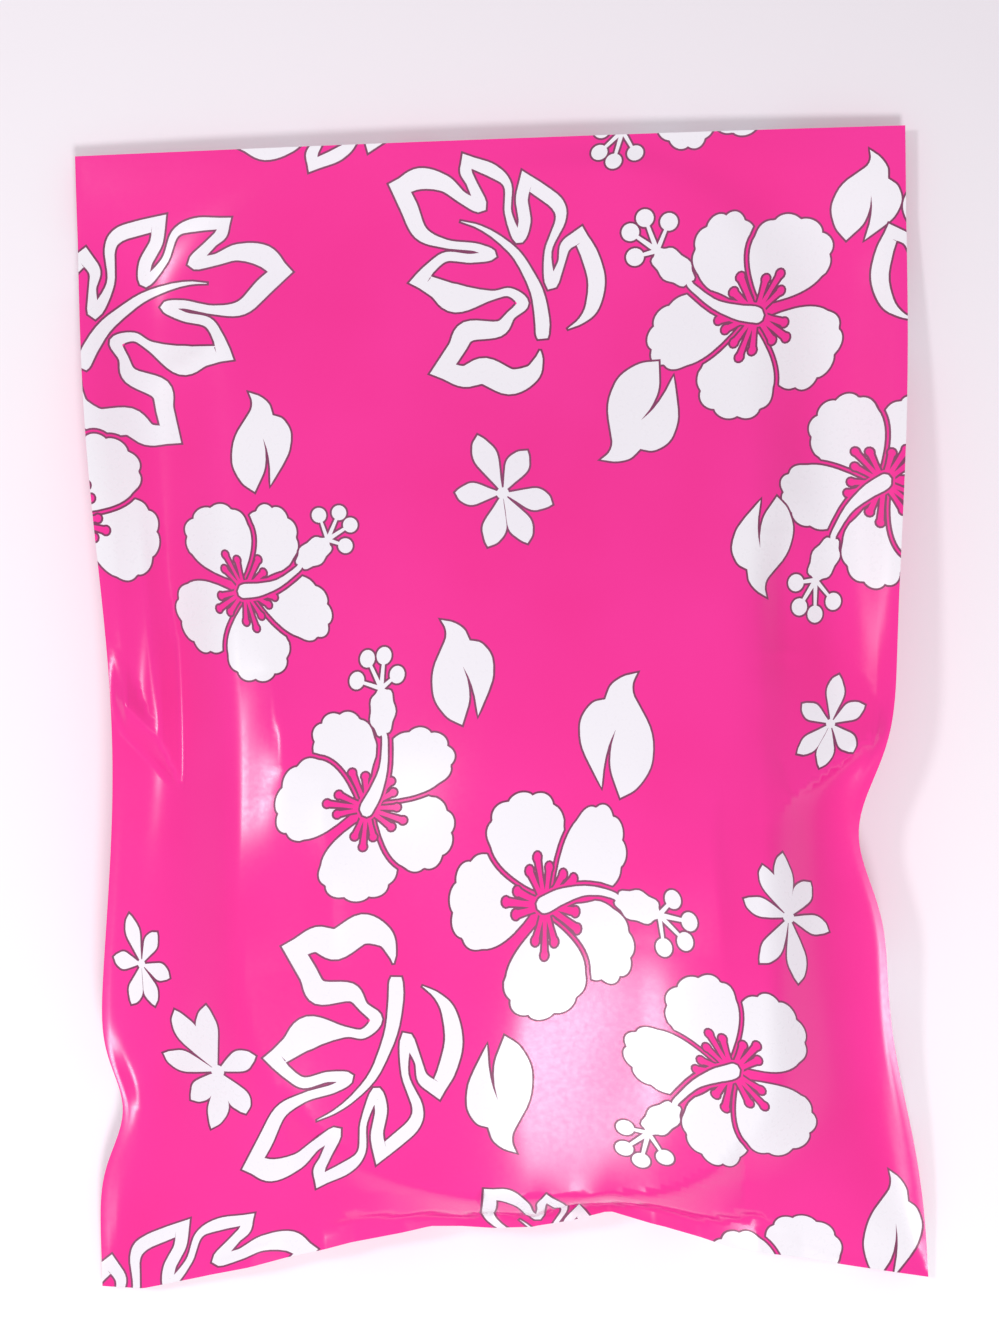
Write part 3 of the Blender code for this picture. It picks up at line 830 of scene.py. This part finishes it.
def thinned(polygon, tolerance):
    """The polygon without the points that it passes within a tolerance of anyway."""
    kept = [0]
    for k in range(1, len(polygon)):
        start = polygon[kept[-1]]
        chord = polygon[(k + 1) % len(polygon)] - start
        between = polygon[kept[-1] + 1:k + 1] - start
        off = np.abs(chord[0] * between[:, 1] - chord[1] * between[:, 0])
        if off.max() > tolerance * math.hypot(*chord):
            kept.append(k)
    return polygon[kept]


def region_grid(region, step):
    """Film coordinates of a grid that fills a region, about a step apart."""
    (left, low), (right, high) = region
    columns, rows = round((right - left) / step), round((high - low) / step)
    return np.meshgrid(np.linspace(left, right, columns + 1), np.linspace(low, high, rows + 1))


def printed_sheet(shapes, region, step):
    """Triangles of a region of film with a colour each: film coordinates, triangles, colours."""
    low, high = np.array(region)
    grid = np.stack([g.ravel() for g in region_grid(region, step)], 1)
    points, edges, polygons = [], [], []
    for polygon, colour in shapes:
        polygon = thinned(polygon, BEND_SHARE * step)
        if len(polygon) < 3 or np.any(polygon.max(0) < low) or np.any(polygon.min(0) > high):
            continue
        polygons.append((polygon, colour))
        first = len(points)
        points.extend(polygon.tolist())
        edges.extend((first + k, first + (k + 1) % len(polygon)) for k in range(len(polygon)))
    tree = kdtree.KDTree(len(points))
    for index, (x, y) in enumerate(points):
        tree.insert((x, y, 0), index)
    tree.balance()
    for point in grid:
        on_rim = np.any(np.abs(point - low) < TINY) or np.any(np.abs(point - high) < TINY)
        if on_rim or not edges or tree.find((*point, 0))[2] > CLEAR_OF_LINES:
            points.append(point.tolist())
    first = len(points)
    points.extend(([low[0], low[1]], [high[0], low[1]], [high[0], high[1]], [low[0], high[1]]))
    edges.extend((first + k, first + (k + 1) % 4) for k in range(4))
    verts = [Vector((x / MM, y / MM)) for x, y in points]
    out, _, faces, _, _, _ = delaunay_2d_cdt(verts, edges, [], 0, MERGE)
    xy = np.array([(v.x, v.y) for v in out]) * MM
    tris = np.array([f for f in faces if len(f) == 3])
    centre = xy[tris].mean(1)
    inside = np.all((centre > low) & (centre < high), axis=1)
    tris, centre = tris[inside], centre[inside]
    colours = np.array([PINK] * len(tris), dtype=object)
    for polygon, colour in polygons:
        near = np.flatnonzero(np.all((centre >= polygon.min(0)) & (centre <= polygon.max(0)), axis=1))
        hit = near[winding(polygon, centre[near, 0], centre[near, 1])]
        if colour == CUT:
            hit, colour = hit[colours[hit] == WHITE], LINE
        colours[hit] = colour
    used, tris = np.unique(tris, return_inverse=True)
    return np.clip(xy[used], low, high), tris.reshape(-1, 3), colours


def rim_order(xy, region):
    """The sheet's rim points in order round it, with how far round each is."""
    low, high = np.array(region)
    width, height = high - low
    x, y = (xy - low).T
    sides = (
        (y < TINY, x),
        (width - x < TINY, width + y),
        (height - y < TINY, width + height + width - x),
        (x < TINY, 2 * width + height + height - y),
    )
    found = {}
    for on_side, distance in sides:
        for index in np.flatnonzero(on_side):
            found.setdefault(int(index), float(distance[index]))
    return sorted(found.items(), key=lambda item: item[1])


def zipped(upper, lower, total):
    """Triangles that join two rings of points, each a list of (index, distance round)."""
    faces, i, j = [], 0, 0
    while i < len(upper) or j < len(lower):
        here, there = upper[i % len(upper)][0], lower[j % len(lower)][0]
        next_upper = upper[i + 1][1] if i + 1 < len(upper) else total
        next_lower = lower[j + 1][1] if j + 1 < len(lower) else total
        if j >= len(lower) or (i < len(upper) and next_upper <= next_lower):
            i += 1
            faces.append((upper[i % len(upper)][0], here, there))
        else:
            j += 1
            faces.append((lower[j % len(lower)][0], here, there))
    return faces


def closed_film(name, top_sheet, top_panel, under_sheet, under_panel, region, materials, under_by=0.0):
    """A closed piece of film between two printed sheets, laid on two panels and joined round their rims."""
    (top_xy, top_tris, top_colours), (under_xy, under_tris, under_colours) = top_sheet, under_sheet
    count = len(top_xy)
    top, under = top_panel.at(*top_xy.T), under_panel.at(*under_xy.T)
    under[:, 2] -= under_by
    normals = np.concatenate((top_panel.normal(*top_xy.T), -under_panel.normal(*under_xy.T)))
    upper = rim_order(top_xy, region)
    lower = [(index + count, distance) for index, distance in rim_order(under_xy, region)]
    (left, low), (right, high) = region
    strip = zipped(upper, lower, 2 * (right - left + high - low))
    faces = top_tris.tolist() + (under_tris[:, ::-1] + count).tolist() + strip
    order = list(materials)
    colours = [*top_colours, *under_colours, *[PINK] * len(strip)]
    mesh = bpy.data.meshes.new(name)
    mesh.from_pydata(np.concatenate((top, under)).tolist(), [], faces)
    for key in order:
        mesh.materials.append(materials[key])
    mesh.polygons.foreach_set("material_index", [order.index(colour) for colour in colours])
    mesh.shade_smooth()
    mesh.normals_split_custom_set_from_vertices(normals.tolist())
    obj = bpy.data.objects.new(name, mesh)
    bpy.context.scene.collection.objects.link(obj)
    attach(obj, "root")
    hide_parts("mailer_bag")
    return obj


def repeated(shapes, steps):
    """Shapes of the print again at whole repeats along the film."""
    again = []
    for step in steps:
        again.extend((polygon + (step * REPEAT_SHIFT, step * REPEAT), colour) for polygon, colour in shapes)
    return again


def past_fold(shapes, fold):
    """Shapes of the print as they show on the film turned under at a fold."""
    return [(polygon * (1, -1) + (0, 2 * fold), colour) for polygon, colour in shapes]


def add_bag():
    front_panel, back_panel = Panel(True), Panel(False)
    view = View(front_panel)
    shapes = []
    for shape, right, above, size, turn, mirrored, breadth, point in FRONT_PRINT:
        middle = view.film_point(right, above)
        shapes.extend(placed(shape, size, turn, mirrored, breadth, point, middle))
    materials = {
        PINK: film_material("pink_film", FILM_PINK, FILM_SHADE, *FILM_FINISH),
        WHITE: film_material("white_print", PRINT_WHITE, PRINT_SHADE, *WHITE_FINISH),
        LINE: film_material("print_line", PRINT_LINE, LINE_SHADE, *LINE_FINISH),
    }
    half = BAG_WIDTH / 2
    whole = ((-half, 0.0), (half, BAG_LENGTH))
    front_sheet = printed_sheet(shapes, whole, FRONT_STEP)
    back_sheet = printed_sheet(past_fold(repeated(shapes, (-1, -2)), 0.0), whole, BACK_STEP)
    bag = closed_film("bag_film", front_sheet, front_panel, back_sheet, back_panel, whole, materials)
    inner = half - WELD_WIDTH
    strip = ((-inner, BAG_LENGTH - FLAP_LENGTH), (inner, BAG_LENGTH - FLAP_END))
    lowered = Panel(False, FLAP_GAP)
    turned_over = past_fold(shapes + repeated(shapes, (1,)), BAG_LENGTH)
    under_sheet = printed_sheet(turned_over, strip, BACK_STEP)
    plain_sheet = printed_sheet([], strip, BACK_STEP)
    closed_film("flap", plain_sheet, lowered, under_sheet, lowered, strip, materials, FLAP_THICKNESS)


class Nodes:
    """A short way to write a material's nodes."""

    def __init__(self, name):
        self.material = bpy.data.materials.new(name)
        self.material.use_nodes = True
        self.tree = self.material.node_tree
        self.shader = self.tree.nodes["Principled BSDF"]

    def add(self, kind, inputs=None, **settings):
        node = self.tree.nodes.new(kind)
        for key, value in settings.items():
            setattr(node, key, value)
        for key, value in (inputs or {}).items():
            self.put(node.inputs[key], value)
        return node

    def put(self, socket, value):
        if isinstance(value, bpy.types.NodeSocket):
            self.tree.links.new(value, socket)
        else:
            socket.default_value = value

    def noise(self, place, scale, rough=0.5):
        inputs = {"Vector": place, "Scale": scale, "Detail": NOISE_DETAIL, "Roughness": rough}
        return self.add("ShaderNodeTexNoise", inputs).outputs["Fac"]

    def span(self, value, low, high, start=0.3, end=0.7):
        inputs = {"Value": value, "From Min": start, "From Max": end, "To Min": low, "To Max": high}
        return self.add("ShaderNodeMapRange", inputs).outputs["Result"]

    def mix(self, share, a, b):
        node = self.add("ShaderNodeMix", data_type="RGBA")
        for socket, value in zip((node.inputs[0], node.inputs[6], node.inputs[7]), (share, a, b)):
            self.put(socket, value)
        return node.outputs[2]

    def bump(self, height, distance, strength, before=None):
        inputs = {"Height": height, "Distance": distance, "Strength": strength}
        if before is not None:
            inputs["Normal"] = before
        return self.add("ShaderNodeBump", inputs).outputs["Normal"]


def film_material(name, colour, shade, smoothest, roughest, ripple):
    """Glossy blown film: faint streaks along its length, soft ripples, and gloss that varies a little."""
    n = Nodes(name)
    place = n.add("ShaderNodeTexCoord").outputs["Object"]
    stretched = n.add("ShaderNodeMapping", {"Vector": place, "Scale": STREAK_STRETCH}).outputs["Vector"]
    streaks = n.noise(stretched, STREAK_SCALE)
    clouds = n.noise(place, CLOUD_SCALE)
    ripples = n.noise(place, RIPPLE_SCALE, 0.4)
    grain = n.noise(place, GRAIN_SCALE)
    n.put(n.shader.inputs["Base Color"], n.mix(n.span(clouds, 0.0, 1.0), (*colour, 1.0), (*shade, 1.0)))
    n.put(n.shader.inputs["Roughness"], n.span(grain, smoothest, roughest))
    n.shader.inputs["IOR"].default_value = FILM_IOR
    normal = n.bump(ripples, RIPPLE_DEPTH, ripple)
    normal = n.bump(streaks, STREAK_DEPTH, ripple, normal)
    n.put(n.shader.inputs["Normal"], n.bump(grain, GRAIN_DEPTH, 1.0, normal))
    return n.material


def floor_material():
    """A plain pale sweep that keeps the bag's shadow and shows brighter than it is lit: painted light, as a
    glow that the camera and reflections see, stronger towards one side and away from the bag.
    """
    n = Nodes("pale_floor")
    n.shader.inputs["Base Color"].default_value = (*FLOOR_COLOUR, 1.0)
    n.shader.inputs["Roughness"].default_value = FLOOR_ROUGHNESS
    ray = n.add("ShaderNodeLightPath").outputs
    seen = n.add("ShaderNodeMath", {0: ray["Is Camera Ray"], 1: ray["Is Glossy Ray"]}, operation="MAXIMUM")
    place = n.add("ShaderNodeTexCoord").outputs["Object"]
    # Painted light: a glow that grows towards one side of the floor and with distance from the bag
    towards = n.add("ShaderNodeVectorMath", {0: place, 1: FLOOR_PAINTED_LIGHT_WAY}, operation="DOT_PRODUCT")
    away = n.add("ShaderNodeVectorMath", {0: place}, operation="LENGTH")
    near = n.span(towards.outputs["Value"], *FLOOR_SIDE_PAINTED_LIGHT, -1.0, 1.0)
    far = n.span(away.outputs["Value"], 0.0, FLOOR_FAR_PAINTED_LIGHT, *FLOOR_FAR)
    lift = n.add("ShaderNodeMath", {0: near, 1: far}, operation="ADD").outputs["Value"]
    lift = n.add("ShaderNodeMath", {0: lift, 1: seen.outputs["Value"]}, operation="MULTIPLY").outputs["Value"]
    n.shader.inputs["Emission Color"].default_value = (*FLOOR_PAINTED_GLOW, 1.0)
    n.put(n.shader.inputs["Emission Strength"], lift)
    return n.material


def add_world():
    """Even white light. The camera sees it as white."""
    world = bpy.data.worlds.new("world")
    bpy.context.scene.world = world
    world.use_nodes = True
    nodes, links = world.node_tree.nodes, world.node_tree.links
    ray = nodes.new("ShaderNodeLightPath")
    strength = nodes.new("ShaderNodeMapRange")
    strength.inputs["To Min"].default_value = WORLD_LIGHT
    strength.inputs["To Max"].default_value = 1.0
    links.new(ray.outputs["Is Camera Ray"], strength.inputs["Value"])
    links.new(strength.outputs["Result"], nodes["Background"].inputs["Strength"])
    nodes["Background"].inputs["Color"].default_value = (1, 1, 1, 1)


def add_floor():
    mesh = bpy.data.meshes.new("floor")
    half = FLOOR_HALF
    corners = [(-half, -half, 0), (half, -half, 0), (half, half, 0), (-half, half, 0)]
    mesh.from_pydata(corners, [], [(0, 1, 2, 3)])
    floor = bpy.data.objects.new("floor", mesh)
    floor.location.z = -FLOOR_DROP
    mesh.materials.append(floor_material())
    bpy.context.scene.collection.objects.link(floor)


def add_lamp(name, place, size, energy):
    lamp = bpy.data.lights.new(name, "AREA")
    lamp.shape = "DISK"
    lamp.size = size
    lamp.energy = energy
    obj = bpy.data.objects.new(name, lamp)
    obj.location = place
    obj.rotation_euler = (-Vector(place)).to_track_quat("-Z", "Y").to_euler()
    bpy.context.scene.collection.objects.link(obj)


def add_camera():
    camera = bpy.data.cameras.new("camera")
    camera.sensor_fit = "VERTICAL"
    camera.sensor_height = SENSOR
    camera.lens = SENSOR * (CAMERA_HEIGHT - SCALE_HEIGHT) * PIXELS_PER_METRE / IMAGE_HEIGHT
    obj = bpy.data.objects.new("camera", camera)
    obj.location = (*CAMERA_OVER, CAMERA_HEIGHT)
    obj.rotation_euler = (0, 0, CAMERA_ROLL)
    bpy.context.scene.collection.objects.link(obj)
    bpy.context.scene.camera = obj


add_bag()
add_floor()
for name, place, size, energy in LAMPS:
    add_lamp(name, place, size, energy)
add_camera()
add_world()
bpy.context.scene.view_settings.view_transform = "Standard"
